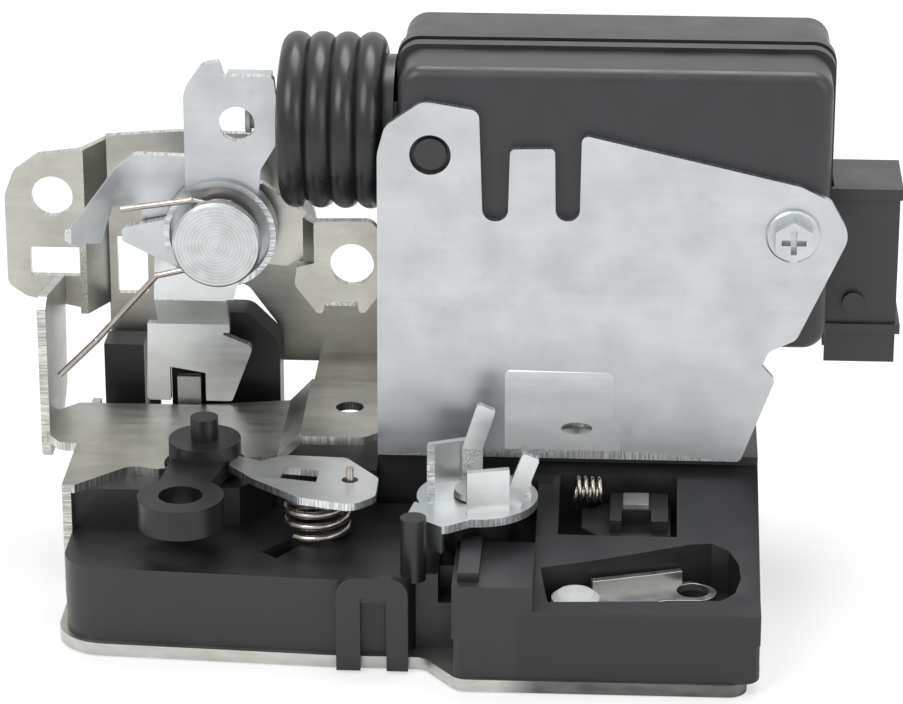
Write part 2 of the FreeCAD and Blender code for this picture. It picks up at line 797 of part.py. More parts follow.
def make_springs():
    """Torsion springs of the levers, the claw and the pawl, and the detent coil."""
    wire = d.coil_wire.value
    radius = d.coil_radius.value
    length = d.coil_length.value
    top_leg = [(0.4, -radius, wire / 2), (-4.1, -6.6, wire / 2), (-15.2, -4.9, wire / 2)]
    low_leg = [
        (-0.4, radius + 0.3, length - wire / 2),
        (-5.1, 6.2, length - wire / 2),
        (-10.4, 7.5, length - wire / 2),
        (-20.3, 18.7, length - wire / 2),
        (-26.5, 24.9, length - wire / 2),
    ]
    shape = coil_shape(radius, wire, 3.5, length, [top_leg, low_leg])
    add_shape("lever_spring", shape, d.stud_x, coil_front, d.stud_z, (1, 0, 0), -90)
    for name, x, y, pin, wire, length in (
        ("fork_spring", d.fork_x, d.fork_y, d.pin_radius, d.fork_coil_wire, d.fork_coil_length),
        ("pawl_spring", d.pawl_x, d.pawl_y, d.pawl_pin_radius, d.pawl_coil_wire, d.pawl_coil_length),
    ):
        middle = pin + d.coil_gap + wire / 2
        coil = coil_shape(middle.value, wire.value, 3, length.value, [])
        add_shape(name, coil, x, y, fork_top + d.coil_lift)
    height = (d.link_top - d.link_thick - d.deck_top).value
    reach = d.detent_radius.value
    tail = [(0, reach, height - 1.6), (-1.95, reach + 0.38, height - 0.9), (-1.95, reach + 0.38, height + 3.2)]
    detent = coil_shape(reach, d.detent_wire.value, 3.25, height - 1.0, [tail])
    add_shape("detent_spring", detent, d.detent_x, d.detent_y, d.deck_top + 0.05, angle=-130)


def make_lock_crank():
    """Front lever: cupped hub, pointed tail, tall arm with a rod hole and the plunger's fork."""
    crank = Piece("lock_crank")
    joggle = crank_front - 0.8
    arm = [
        (-44.2, 52),
        (-42.8, 60),
        (-42.8, d.rod_z + 6, 5),
        (-39.8, d.rod_z + 10.2, 2),
        (-37.2, d.rod_z + 10.9, 0.6),
        (-36.4, d.rod_z + 8.4, 0.5),
        (-28.6, d.rod_z + 8.4, 0.8),
        (-28.2, d.rod_z + 4.6),
        (-28.2, d.rod_z - 2.4),
        (-30.9, d.rod_z - 6.9),
        (-31.6, 59),
    ]
    crank.pad("XZ", crank_front, crank_back, (d.stud_x, d.stud_z, d.ring_radius))
    crank.pad("XZ", joggle, joggle + d.lever_thick, arm)
    tail = [(-40, 62), (-45, 58), (-53.2, 56.2, 0.6), (-53.2, 54, 0.6), (-46.4, 50.6), (-43, 48.8), (-38, 50)]
    crank.pad("XZ", crank_front, crank_back, tail)
    rim = (d.stud_x, d.stud_z, d.ring_radius)
    crank.pocket("XZ", joggle - 1, crank_front, (d.stud_x, d.stud_z, d.ring_radius - 0.9))
    crank.pad("XZ", crank_front - 1.9, crank_front + 0.2, rim, (d.stud_x, d.stud_z, d.ring_radius - 0.9))
    leg_notch = [(-9.6, -2.6), (-7.2, -2.4), (-4.2, -6.6), (-5.2, -9.4), (-9.6, -9.4)]
    crank.pocket("XZ", crank_front - 2, crank_front, [(d.stud_x + x, d.stud_z + z) for x, z in leg_notch])
    crank.pocket("XZ", joggle - 2, crank_back, (d.stud_x, d.stud_z, bore_radius))
    crank.pocket("XZ", joggle - 1, crank_back, (d.crank_hole_x, d.rod_z + d.crank_hole_up, d.crank_hole))
    # folded top edge, and the slotted ear that takes the plunger's neck
    crank.pad("XY", d.rod_z + 6.7, d.rod_z + 7.9, box(-36.2, -29.2, joggle, crank_back + 3))
    ear_x = neck_end - (d.neck_length + d.ear_thick) / 2
    ear_back = d.rod_y + 4
    crank.pad("YZ", ear_x, ear_x + d.ear_thick, box(joggle, ear_back, d.rod_z - 4.9, d.rod_z + 6.1))
    slot_low = d.rod_z - d.neck_radius - 2.2
    slot_high = d.rod_z + d.neck_radius + 0.5
    slot_half = d.neck_radius + d.air
    crank.pocket("YZ", ear_x, ear_x + d.ear_thick, box(d.rod_y - slot_half, d.rod_y + slot_half, slot_low, slot_high))


def make_inside_lever():
    """Second lever: its flat arm carries a leaning flange for the inside handle."""
    lever = Piece("inside_lever")
    arm = [(-42.6, 67.6), (-50.1, 67.8, 1), (-50.3, 59.5), (-47.5, 52), (-38, 49), (-34, 58)]
    lever.pad("XZ", inside_front, inside_back, arm)
    lever.pad("XZ", inside_front, inside_back, (d.stud_x, d.stud_z, d.hub_radius))
    flange = [
        (-49.6, inside_back),
        (-50.8, inside_back),
        (-61.6, inside_front - 6.6),
        (-60.4, inside_front - 7.8),
        (-51.6, inside_front - 0.6),
        (-49.6, inside_front),
    ]
    lever.pad("XY", 54.4, 67.8, flange)
    low, high = inside_front - 9, inside_back + 1
    lever.pocket("XZ", low, high, [(-63, 70), (-51.4, 70), (-51.4, 67.7), (-54, 66), (-60.6, 57.8), (-63, 56.4)])
    lever.pocket("XZ", low, high, [(-63, 55.6), (-60.8, 55.4), (-56.2, 54.4), (-54.5, 60), (-50.2, 59.6), (-50.2, 52), (-63, 52)])
    lever.pocket("XZ", inside_front, inside_back, (d.stud_x, d.stud_z, bore_radius))


def make_outside_lever():
    """Third lever: its arm steps forward to a plate with the outside handle's rod hole."""
    lever = Piece("outside_lever")
    face = crank_front + 1.2
    inner = [(-36, 62.5), (-31, 62.6), (-24.4, 57.6), (-23.9, 51), (-27.4, 48.8), (-34, 49.4)]
    lever.pad("XZ", outside_front, outside_back, inner)
    lever.pad("XZ", outside_front, outside_back, (d.stud_x, d.stud_z, d.hub_radius))
    joggle = [
        (-25.4, outside_back),
        (-25.4, outside_front),
        (-24.8, outside_front),
        (-22.8, face),
        (-22, face),
        (-22, face + d.lever_thick),
        (-24, outside_back),
    ]
    lever.pad("XY", 49.6, 57, joggle)
    plate = [
        (-22.6, 57.4),
        (d.bracket_left - 0.6, 57.6, 2),
        (d.bracket_left - 0.6, 45, 3),
        (-15.6, 40.9, 0.7),
        (-16, 44),
        (-21.2, 43.6),
        (-21.6, 40.8, 0.7),
        (-26, 46.6, 1.5),
        (-25.6, 49.6),
        (-22.6, 50.4),
    ]
    lever.pad("XZ", face, face + d.lever_thick, plate)
    lever.pad("XY", 43.2, 44.6, box(-21.2, -16.2, face, face + 3.6))
    lever.pocket("XZ", face, face + d.lever_thick, (d.outer_hole_x, d.outer_hole_z, d.outer_hole))
    lever.pocket("XZ", outside_front, outside_back, (d.stud_x, d.stud_z, bore_radius))


def make_release_lever():
    """Rear lever: hangs down to the pawl's stalk and takes it in its notch."""
    lever = Piece("release_lever")
    low_front = d.stalk_y - d.stalk_thick / 2 - d.lever_thick / 2 - 0.4
    low_back = low_front + d.lever_thick
    strap = [(-49.2, 42), (-48.8, 53), (-44, 60), (-33, 60), (-34.6, 50), (-36.4, 42)]
    lever.pad("XZ", release_front, release_back, (d.stud_x, d.stud_z, d.hub_radius))
    lever.pad("XZ", release_front, release_back, strap)
    joggle = [
        (release_front, 43.4),
        (release_back, 43.4),
        (release_back, 42.2),
        (low_back, 36.4),
        (low_back, 34.6),
        (low_front, 34.6),
        (low_front, 36),
        (release_front, 41.8),
    ]
    lever.pad("YZ", -49.2, -37.6, joggle)
    notch_left = d.stalk_x - d.stalk_wide / 2 - 1.1
    notch_right = d.stalk_x + d.stalk_wide / 2 + 0.9
    hand = [
        (-51, 36),
        (-38.6, 36),
        (-38.6, 34.2),
        (-33.8, 32.2, 1),
        (-37.4, d.shelf_top + 0.4, 0.6),
        (notch_right, d.shelf_top + 0.4),
        (notch_right, d.stalk_top + 0.9),
        (notch_left, d.stalk_top + 1.9),
        (notch_left, d.shelf_top + 0.4),
        (-51.4, d.shelf_top + 0.4, 0.6),
    ]
    lever.pad("XZ", low_front, low_back, hand)
    lever.pocket("XZ", release_front, release_back, (d.stud_x, d.stud_z, bore_radius))


def make_bracket():
    """Bright plate that carries the actuator, folded back along its foot."""
    bracket = Piece("bracket_plate")
    front, back = d.bracket_y, bracket_back
    foot_top = d.bracket_foot + d.bracket_thick
    outline = [
        (d.bracket_left, d.bracket_foot),
        (d.bracket_left + 0.2, 73, 6),
        (-10.6, 77.5, 3),
        (-4.8, 81.6, 3),
        (3.9, 80.2, 1.5),
        (4.5, 62.4, 1.9),
        (8.4, 62.4, 1.9),
        (8.7, 74.1, 0.8),
        (15.6, 74.3, 0.8),
        (15.8, 62.6, 1.8),
        (19.5, 62.6, 1.8),
        (19.7, 76.6, 1),
        (53.4, 68.8, 4),
        (58.2, 66.4, 3),
        (61.2, 61, 4),
        (53.4, 43.6, 2),
        (49.2, 41.6, 1.5),
        (48.2, 39.2),
        (50.3, 36.8, 1),
        (45.2, d.bracket_foot, 1),
        (26.4, d.bracket_foot),
        (26.4, 27.4),
        (25.2, 29.6),
        (25.2, 37.5, 1),
        (8.1, 37.8, 1),
        (8.1, d.bracket_foot),
    ]
    bracket.pad("XZ", front, back, outline)
    bracket.pocket("XZ", front, back, (d.pad_hole_x, d.pad_hole_z, d.pad_hole))
    bracket.pocket("XZ", front, back, (d.screw_x, d.screw_z, d.screw_radius + 0.3))
    flange = [
        (d.bracket_left + 0.6, front),
        (44.8, front),
        (44.8, d.flange_back, 3),
        (d.bracket_left + 0.6, d.flange_back, 3),
    ]
    bracket.pad("XY", d.bracket_foot, foot_top, flange)
    bracket.pocket("XY", d.bracket_foot, foot_top, (d.base_hole_x, d.base_hole_y, d.base_hole))


def make_screws():
    """Hex washer screw of the actuator, and the screw that holds the foot."""
    screw = Piece("bracket_screw")
    front = d.bracket_y
    washer = front - 1.1
    face = front - 3.8
    screw.turn(
        (0, front + 6.5),
        (d.screw_radius - 0.5, front + 6.5),
        (d.screw_radius, front + 5.5),
        (d.screw_radius, front),
        (4.2, front),
        (4.2, washer + 0.3),
        (3.9, washer),
        (0, washer),
    )
    corners = []
    for number in range(6):
        angle = math.radians(60 * number + 30)
        corners.append((3.3 * math.cos(angle), 3.3 * math.sin(angle)))
    screw.pad("XY", face, washer + 0.2, corners)
    screw.pocket("XY", face, face + 1.6, box(-0.45, 0.45, -1.9, 1.9))
    screw.pocket("XY", face, face + 1.6, box(-1.9, 1.9, -0.45, 0.45))
    screw.place(d.screw_x, 0, d.screw_z, (1, 0, 0), -90)
    foot = Piece("base_screw")
    top = d.bracket_foot + d.bracket_thick
    shank = d.base_hole
    foot.turn((0, top - 8), (shank - 0.6, top - 8), (shank, top - 7.4), (shank, top - 0.4), (0, top - 0.9))
    foot.place(d.base_hole_x, d.base_hole_y)


def make_actuator():
    """Two moulded half shells, the seal between them and the locating pin."""
    case = Piece("actuator_case")
    left, right, low, top = d.case_left, d.case_right, d.case_low, d.case_top
    wall = d.case_wall
    rounded = d.case_round
    front = bracket_back + 0.1
    split = d.case_split

    def ring(inset, *radius):
        return [
            (left + inset, low + inset, *radius),
            (right - inset, low + inset, *radius),
            (right - inset, top - inset, *radius),
            (left + inset, top - inset, *radius),
        ]

    case.pad("XZ", front, split, ring(0))
    case.pocket("XZ", front + wall, split, ring(wall, rounded - wall))
    case.round_corners("XZ", front.value, split.value, [ring(0, rounded)])

    def on_rim(middle):
        across = min(middle.x - left.value, right.value - middle.x)
        up = min(middle.z - low.value, top.value - middle.z)
        return min(across, up) < 1 or max(across, up) < 3

    case.soften("XZ", front, d.case_edge, on_rim)
    case.pad("XZ", front - 1.2, front + 0.6, (d.pad_hole_x, d.pad_hole_z, 2.5))
    boss = front + 5.4
    case.pad("XZ", front, boss, (d.screw_x, d.screw_z, 4.4))
    case.pocket("XZ", front - 1, boss, (d.screw_x, d.screw_z, d.screw_radius))
    case.pad("XZ", split - d.band_wide, split, ring(-0.7, rounded), ring(wall))
    cover = Piece("actuator_cover")
    start = split + d.seal_thick
    cover.pad("XZ", start, d.case_back, ring(-0.3))
    cover.pocket("XZ", start, d.case_back - wall, ring(wall, rounded - wall))
    cover.round_corners("XZ", start.value, d.case_back.value, [ring(-0.3, rounded)])
    cover.soften("XZ", d.case_back, d.case_edge, on_rim)
    cover.pad("XZ", start, start + d.band_wide, ring(-d.band_out, rounded), ring(wall))
    hole = d.rod_radius + d.air
    cover.pocket("YZ", left - 2, left + wall + 1, (d.rod_y, d.rod_z, hole))
    case.pocket("YZ", left - 2, left + wall + 1, (d.rod_y, d.rod_z, hole))
    seal = Piece("case_seal")
    seal.pad("XZ", split, start, ring(wall, rounded - wall), ring(0.2, rounded - 0.2))
    seal.pocket("YZ", left - 2, left + wall + 1, (d.rod_y, d.rod_z, hole))


def make_connector():
    """Plug socket beside the case, open downwards, with its two blades."""
    shroud = Piece("connector_shroud")
    left, right = d.connector_left, d.connector_right
    front, back = d.connector_front, d.connector_back
    low, top = d.connector_low, d.connector_top
    wall = 1.4
    shroud.pad("XY", low, top, box(left - 0.7, right, front, back))
    shroud.pocket("XY", low, low + 17, box(left + wall, right - wall, front + wall, back - wall))
    shroud.pad("XY", low + 5, low + 6.6, box(left - 0.7, right + 0.7, front - 0.7, back))
    shroud.pad("XY", top - 1.8, top, box(left - 0.7, right + 0.4, front - 0.6, back))
    shroud.pocket("XY", low, low + 17, box(left + wall, right - wall, front + wall, back - wall))
    shroud.pad("XZ", front - 0.9, front, (62.6, 46, 1.7))
    band = box(
        left - 0.7,
        d.case_right + d.band_out + 0.1,
        d.case_split - d.band_wide - 0.1,
        d.case_split + d.seal_thick + d.band_wide + 0.1,
    )
    shroud.pocket("XY", low, top, band)
    blades = Piece("terminal_blades")
    middle = (left + right) / 2
    for y in (front + 4.6, back - 4.6):
        blades.pad("XY", low + 7, low + 17, box(middle - 1.4, middle + 1.4, y - 0.4, y + 0.4))


def make_drive():
    """Motor, worm, reduction wheel and the plunger that they drive."""
    motor = Piece("motor_can")
    axle_y = d.rod_y + 2
    end = d.motor_x + d.motor_length
    motor.turn(
        (1.6, d.motor_x),
        (d.motor_radius, d.motor_x),
        (d.motor_radius, end - 2),
        (d.motor_radius - 2, end),
        (1.6, end),
    )
    motor.place(0, axle_y, d.motor_z, (0, 1, 0), 90)
    worm = Piece("worm_shaft")
    worm.turn(
        (0, d.motor_x - 20),
        (1.5, d.motor_x - 20),
        (1.5, d.motor_x - 18),
        (d.worm_radius, d.motor_x - 18),
        (d.worm_radius, d.motor_x - 5),
        (1.5, d.motor_x - 5),
        (1.5, end - 1),
        (0, end - 1),
    )
    worm.place(0, axle_y, d.motor_z, (0, 1, 0), 90)
    wheel_z = d.motor_z + d.worm_radius + d.wheel_radius + d.air
    wheel = Piece("reduction_wheel")
    wheel.pad("XZ", axle_y - 2.5, axle_y + 2.5, (d.wheel_x, wheel_z, d.wheel_radius))
    wheel.pad("XZ", axle_y - 11, axle_y - 2.5, (d.wheel_x, wheel_z, d.pinion_radius))
    wheel.pocket("XZ", axle_y - 11, axle_y + 2.5, (d.wheel_x, wheel_z, 1.5 + d.run_fit))
    axle = Piece("wheel_axle")
    axle.pad("XZ", bracket_back + 0.1 + d.case_wall, d.case_back - d.case_wall, (d.wheel_x, wheel_z, 1.5))
    plunger = Piece("plunger")
    rack_low = wheel_z + d.pinion_radius + d.air
    tip = neck_end - d.neck_length
    plunger.pad("YZ", neck_end, 2, (d.rod_y, d.rod_z, d.rod_radius))
    plunger.pad("YZ", tip, neck_end, (d.rod_y, d.rod_z, d.neck_radius))
    plunger.pad("YZ", tip - 0.8, tip, (d.rod_y, d.rod_z, d.neck_radius + 0.7))
    plunger.pad("YZ", 0.2, 36, box(axle_y - 10, axle_y - 3.2, rack_low, rack_low + 5))
    plunger.pad("YZ", 0.2, 3.7, box(axle_y - 10, axle_y, rack_low, d.rod_z + 2))


def make_boot():
    """Rubber bellows: four bulging rings and a collar, hollow inside."""
    left = d.boot_left.value
    wall = d.boot_wall.value
    crest = d.boot_crest.value
    outer = d.boot_radius.value
    valley = outer - 1.45 * crest
    length = (d.case_left - d.band_out - 0.1).value - left
    pitch = (length - d.boot_collar.value) / 4.4
    along = FreeCAD.Vector(1, 0, 0)
    boot = Part.makeCylinder(valley, length, FreeCAD.Vector(left, 0, 0), along)
    rings = []
    for number in range(4):
        centre = FreeCAD.Vector(left + crest + 0.2 + number * pitch, 0, 0)
        rings.append(Part.makeTorus(outer - crest, crest, centre, along))
    room = Part.makeCylinder(valley - wall, length, FreeCAD.Vector(left + wall, 0, 0), along)
    bore = Part.makeCylinder(d.rod_radius.value + 0.25, length, FreeCAD.Vector(left - wall, 0, 0), along)
    boot = boot.multiFuse(rings).cut(room).cut(bore).removeSplitter()
    add_shape("rod_boot", boot, 0, d.rod_y, d.rod_z)


def make_ring_lever():
    """Moulded lever with an eye for a rod, and the zinc link plate fixed on its hub."""
    lever = Piece("ring_lever")
    low = block_top + d.wide_air
    ring_low = d.ring_top - d.ring_thick
    arm = [(-43.6, 3), (-45, -10), (-37, -10), (-34.6, 2)]
    lever.pad("XY", low, d.hub_top, (d.hub_x, d.hub_y, d.hub_outer))
    lever.pad("XY", low, d.ring_top, arm)
    lever.pad("XY", ring_low, d.ring_top, (d.ring_x, d.ring_y, d.ring_outer))
    lever.pocket("XY", ring_low, d.ring_top, (d.ring_x, d.ring_y, d.ring_hole))
    lever.pad("XY", d.hub_top, d.hub_top + 3.6, (d.hub_x, d.hub_y, 2.2))
    link = Piece("link_plate")
    link_low = d.link_top - d.link_thick
    plate = [
        (-34.8, -2.4),
        (-30.6, -7.6),
        (-22.6, -14.6, 3),
        (-14.4, -17, 3),
        (-11, -13.4, 2),
        (-11, -6.4, 2),
        (-16.6, 1.4, 1.5),
        (-26.6, 2, 1.5),
        (-30, -0.6),
        (-34.4, 1.6),
    ]
    link.pad("XY", link_low, d.link_top, plate)
    link.pocket("XY", link_low, d.link_top, [(-26.2, -2.8), (-20.4, -3.7), (-20.6, -8.5), (-26.3, -7.2)])
    link.pocket("XY", link_low, d.link_top, (-15.4, -7.3, 1.3))


def make_key_crank():
    """Folded zinc crank on its pin: saucer, four walls, two leaning fingers and a foot tab."""
    crank = Piece("key_crank")
    sheet = d.key_sheet
    low = 0
    wall_top = 8.2
    crank.pad("XY", low, sheet, (0, 0, d.key_disc))
    foot = [(-9.6, -3), (-10.4, -7.8, 1), (-4.6, -12.4, 1), (0, -9)]
    crank.pad("XY", low, sheet, foot)
    tab = [(-10.4, -7.8), (-9.5, -8.7), (-4.9, -12.4), (-4.6, -11.2), (-9.2, -7.4)]
    crank.pad("XY", -3.2, sheet, tab)
    crank.pad("XY", low, wall_top, [(-8, 3.6), (-6.8, 3), (-6.4, -3.4), (-7.6, -3.6)])
    crank.pad("XY", low, wall_top, [(-7.6, 3.2), (-0.8, 6.2), (-0.8, 7.4), (-8, 4.2)])
    crank.pad("XY", low, wall_top, [(-1.4, -6.6), (5, -4.8), (5.2, -6), (-1.2, -7.8)])
    crank.pad("XY", low, wall_top - 1, [(6.4, 5.6), (7.4, 6.2), (8.4, -1.6), (7.2, -1.8)])
    crank.pad("XZ", 4.8, 6, [(-2.6, 7), (-0.2, 14.6, 0.6), (2.6, 13.4, 0.6), (0.6, 7), (0.6, 0), (-2.6, 0)])
    crank.pad("XZ", -4.6, -3.4, [(3.6, 0.6), (7.2, 10.4, 0.6), (9.8, 9.4, 0.6), (6.6, 0.6)])
    crank.pocket("XY", -1, sheet, (0, 0, d.key_pin + d.run_fit))
    crank.place(d.key_x, d.key_y, d.key_low)
    pin = Piece("key_pin")
    top = d.key_low + sheet
    pin.turn(
        (0, d.deck_top - 5),
        (d.key_pin, d.deck_top - 5),
        (d.key_pin, top + d.air),
        (d.key_pin + 1.2, top + d.air),
        (d.key_pin + 1, top + d.air + 0.9),
        (0, top + d.air + 1.1),
    )
    pin.place(d.key_x, d.key_y)


def make_slide():
    """Moulded slide in its pocket, with the small metal clip on top."""
    slide = Piece("locking_slide")
    low, top = d.slide_low, d.slide_top
    outline = [
        (20.6, -7),
        (23.2, -10, 0.6),
        (34.4, -10, 0.8),
        (34.4, 2.6, 0.8),
        (24, 2.6),
        (22.6, 0.6),
        (20.6, 0.6, 0.8),
    ]
    slide.pad("XY", low, top - 2, outline)
    slide.pad("XY", low, top, box(25, 34, -8.6, 2.2))
    slide.pocket("XY", top - 2.4, top, box(26.8, 31.4, -9, -4.4))
    clip = Piece("slide_clip")
    clip.pad("XY", top, top + 0.8, box(27, 31, -4, 0.6))
    spring = coil_shape(1.9, 0.7, 4, 5.0, [])
    add_shape("slide_spring", spring, 19.4, 2.0, top + 0.6, (0, 1, 0), 90)


def make_toggle():
    """Small steel lever in the curved recess, riveted at one end."""
    toggle = Piece("toggle_lever")
    low = d.toggle_low
    top = low + d.toggle_thick
    outline = [
        (16.6, -24.6, 2),
        (22, -25.4, 2),
        (34, -21.2),
        (40.8, -20.9, 3),
        (42.2, -16.6, 3),
        (37.6, -13.9, 2),
        (24.4, -18.2),
        (16.4, -20.4, 2),
    ]
    toggle.pad("XY", low, top, outline)
    flange = [(22.6, -18.9), (24.3, -18.4), (36.4, -14.4), (36, -13.3), (24, -17.2), (22.3, -17.7)]
    toggle.pad("XY", low, low + 3, flange)
    toggle.pocket("XY", low, top, (d.toggle_x, d.toggle_y, d.toggle_pin + d.run_fit))
    toggle.pocket("XY", low, top, (d.toggle_hole_x, d.toggle_hole_y, d.toggle_hole))
    rivet = Piece("toggle_rivet")
    rivet.turn(
        (0, d.floor_top - 0.6),
        (d.toggle_pin, d.floor_top - 0.6),
        (d.toggle_pin, top + d.air),
        (d.toggle_head, top + d.air),
        (d.toggle_head, top + d.air + 0.7),
        (d.toggle_head - 1, top + d.air + 1.5),
        (0, top + d.air + 1.7),
    )
    rivet.place(d.toggle_x, d.toggle_y)


def main():
    make_face_plate()
    make_fork()
    make_pins()
    make_pawl()
    make_housing()
    make_bumper()
    make_frame()
    make_stud()
    make_springs()
    make_lock_crank()
    make_inside_lever()
    make_outside_lever()
    make_release_lever()
    make_bracket()
    make_screws()
    make_actuator()
    make_connector()
    make_drive()
    make_boot()
    make_ring_lever()
    make_key_crank()
    make_slide()
    make_toggle()
    doc.recompute()
    for item in doc.Objects:
        if "Invalid" in item.State or "Error" in item.State:
            raise RuntimeError(f"{item.Name} failed: {item.State}")
    os.makedirs("parts", exist_ok=True)
    for name, item in parts.items():
        shape = item.Shape
        if shape.isNull() or not shape.isValid():
            raise RuntimeError(f"{name} has a bad shape")
        print(name, len(shape.Solids), round(shape.Volume, 1))
        shape.exportStep(f"parts/{name}.step")


main()
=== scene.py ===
import json
import math

import bmesh
import bpy
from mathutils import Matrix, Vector
from mathutils.bvhtree import BVHTree


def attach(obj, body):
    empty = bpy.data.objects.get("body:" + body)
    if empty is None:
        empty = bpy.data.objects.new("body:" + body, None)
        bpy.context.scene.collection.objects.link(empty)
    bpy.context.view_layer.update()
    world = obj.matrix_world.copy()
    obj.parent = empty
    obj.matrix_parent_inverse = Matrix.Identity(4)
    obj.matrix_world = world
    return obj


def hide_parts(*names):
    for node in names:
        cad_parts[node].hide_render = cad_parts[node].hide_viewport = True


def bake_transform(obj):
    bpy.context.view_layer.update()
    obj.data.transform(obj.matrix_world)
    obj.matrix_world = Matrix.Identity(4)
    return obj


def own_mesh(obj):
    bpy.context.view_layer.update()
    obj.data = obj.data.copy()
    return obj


# Car door lock. Metres, in the frame of the solids: +Z up, the levers face -Y.

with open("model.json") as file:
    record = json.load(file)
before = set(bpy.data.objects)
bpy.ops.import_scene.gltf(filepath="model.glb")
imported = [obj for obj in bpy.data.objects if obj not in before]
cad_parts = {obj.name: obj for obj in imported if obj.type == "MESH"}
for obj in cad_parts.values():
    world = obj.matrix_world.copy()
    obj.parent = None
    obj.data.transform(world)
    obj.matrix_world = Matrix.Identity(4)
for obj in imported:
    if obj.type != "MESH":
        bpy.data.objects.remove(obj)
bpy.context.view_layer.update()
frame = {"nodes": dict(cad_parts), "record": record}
nodes = frame["nodes"]
body_of = {node: body for body, members in frame["record"]["behaviour"]["bodies"].items() for node in members}
slot_of = {item["node"]: item["material_slot"] for item in frame["record"]["subparts"]}
MM = 0.001


# ---------------------------------------------------------------- finishes


class Link:
    """A shader socket that Python's operators turn into Math nodes."""

    def __init__(self, finish, socket):
        self.finish = finish
        self.socket = socket

    def math(self, operation, *terms):
        return self.finish.node("Math", {"operation": operation}, dict(enumerate(terms)))

    def __add__(self, other):
        return self.math("ADD", self, other)

    def __radd__(self, other):
        return self.math("ADD", other, self)

    def __sub__(self, other):
        return self.math("SUBTRACT", self, other)

    def __rsub__(self, other):
        return self.math("SUBTRACT", other, self)

    def __mul__(self, other):
        return self.math("MULTIPLY", self, other)

    def __rmul__(self, other):
        return self.math("MULTIPLY", other, self)


class Finish:
    """One procedural material around a Principled shader."""

    def __init__(self, name, **sockets):
        self.material = bpy.data.materials.new(name)
        self.material.use_nodes = True
        self.tree = self.material.node_tree
        self.tree.nodes.clear()
        output = self.tree.nodes.new("ShaderNodeOutputMaterial")
        self.surface = self.tree.nodes.new("ShaderNodeBsdfPrincipled")
        self.tree.links.new(self.surface.outputs[0], output.inputs[0])
        self.place = self.node("TexCoord", out="Object")
        self.set(**sockets)

    def node(self, kind, settings=None, values=None, out=0):
        """Adds a node: its settings first, then the values or links of its sockets."""
        made = self.tree.nodes.new("ShaderNode" + kind)
        for name, value in (settings or {}).items():
            setattr(made, name, value)
        for name, value in (values or {}).items():
            self.feed(made.inputs[name], value)
        return Link(self, made.outputs[out])

    def feed(self, socket, value):
        if isinstance(value, Link):
            self.tree.links.new(value.socket, socket)
        else:
            socket.default_value = value

    def set(self, **sockets):
        for name, value in sockets.items():
            self.feed(self.surface.inputs[name.replace("_", " ").title().replace("Ior", "IOR")], value)
        return self

    def stretched(self, scale):
        return self.node("Mapping", {}, {0: self.place, "Scale": scale})

    def along(self):
        """The place on the object as three separate lengths."""
        return [self.node("SeparateXYZ", {}, {0: self.place}, axis) for axis in range(3)]

    def noise(self, size, detail=3.0, place=None, roughness=0.55):
        """Noise from 0 to 1 whose features are about that many metres across."""
        values = {"Vector": place or self.place, "Scale": 1 / size, "Detail": detail, "Roughness": roughness}
        return self.node("TexNoise", {}, values)

    def spread(self, value, low, high, start=0.0, end=1.0):
        values = {"Value": value, "From Min": low, "From Max": high, "To Min": start, "To Max": end}
        return self.node("MapRange", {"clamp": True}, values)

    def mix(self, share, first, second):
        first, second = ((*color, 1) if isinstance(color, tuple) else color for color in (first, second))
        return self.node("Mix", {"data_type": "RGBA"}, {0: share, 6: first, 7: second}, 2)

    def bump(self, height, strength, distance):
        normal = self.node("Bump", {}, {"Height": height, "Strength": strength, "Distance": distance})
        self.set(normal=normal)
        return self


def shade(color, factor):
    return tuple(channel * factor for channel in color)


def zinc(name, color, rough=0.3, cloud=0.18, grain=0.25):
    """Zinc plate on rolled steel: soft clouds, partly the plate's own clouding and partly painted reflection,
    faint rolling streaks and a fine tooth.
    """
    finish = Finish(name, metallic=1.0)
    # The clouds are partly the zinc's own clouding and partly painted reflection: light and dark patches that
    # stand in for reflections of the surroundings.
    clouds_and_painted_reflection = finish.noise(9 * MM, 4)
    streaks = finish.noise(1.2 * MM, 3, finish.stretched((0.12, 1, 1)))
    tooth = finish.noise(0.22 * MM, 2)
    dirt = finish.spread(finish.noise(2.6 * MM, 5), 0.6, 0.74)
    tone = finish.spread(clouds_and_painted_reflection * 0.75 + streaks * 0.25, 0.36, 0.66)
    base = finish.mix(tone, shade(color, 1 - cloud), shade(color, 1 + cloud * 0.6))
    base = finish.mix(dirt * 0.2, base, shade(color, 0.62))
    wear = streaks * 0.5 + tooth * 0.5
    finish.set(base_color=base, roughness=finish.spread(wear, 0.25, 0.75, rough - 0.07, rough + 0.09))
    return finish.bump(tooth * 0.7 + streaks * 0.6, grain, 0.02 * MM)


def cut_edge(name, color, along):
    """Sheared edge of a sheet: bright, with fine ridges that run through its thickness."""
    finish = Finish(name, metallic=1.0, roughness=0.34)
    scale = [1.0, 1.0, 1.0]
    scale["xyz".index(along)] = 0.06
    ridges = finish.noise(0.3 * MM, 2, finish.stretched(tuple(scale)), 0.7)
    ridge = finish.spread(ridges, 0.38, 0.62)
    finish.set(base_color=finish.mix(ridge, shade(color, 0.62), shade(color, 1.25)))
    return finish.bump(ridge, 0.55, 0.05 * MM)


def moulded(name, color, rough, spark, specular=0.3):
    """Moulded plastic: fine spark texture, soft sheen marks and a few pale rubs."""
    finish = Finish(name, specular_ior_level=specular)
    fine = finish.noise(0.16 * MM, 2)
    sheen = finish.noise(7 * MM, 3)
    rub = finish.spread(finish.noise(1.1 * MM, 6, None, 0.65), 0.68, 0.76)
    base = finish.mix(finish.spread(sheen, 0.3, 0.7), shade(color, 0.86), shade(color, 1.16))
    base = finish.mix(rub * 0.28, base, shade(color, 3.2))
    finish.set(base_color=base, roughness=finish.spread(sheen, 0.3, 0.7, rough - 0.06, rough + 0.08))
    return finish.bump(fine, spark, 0.03 * MM)


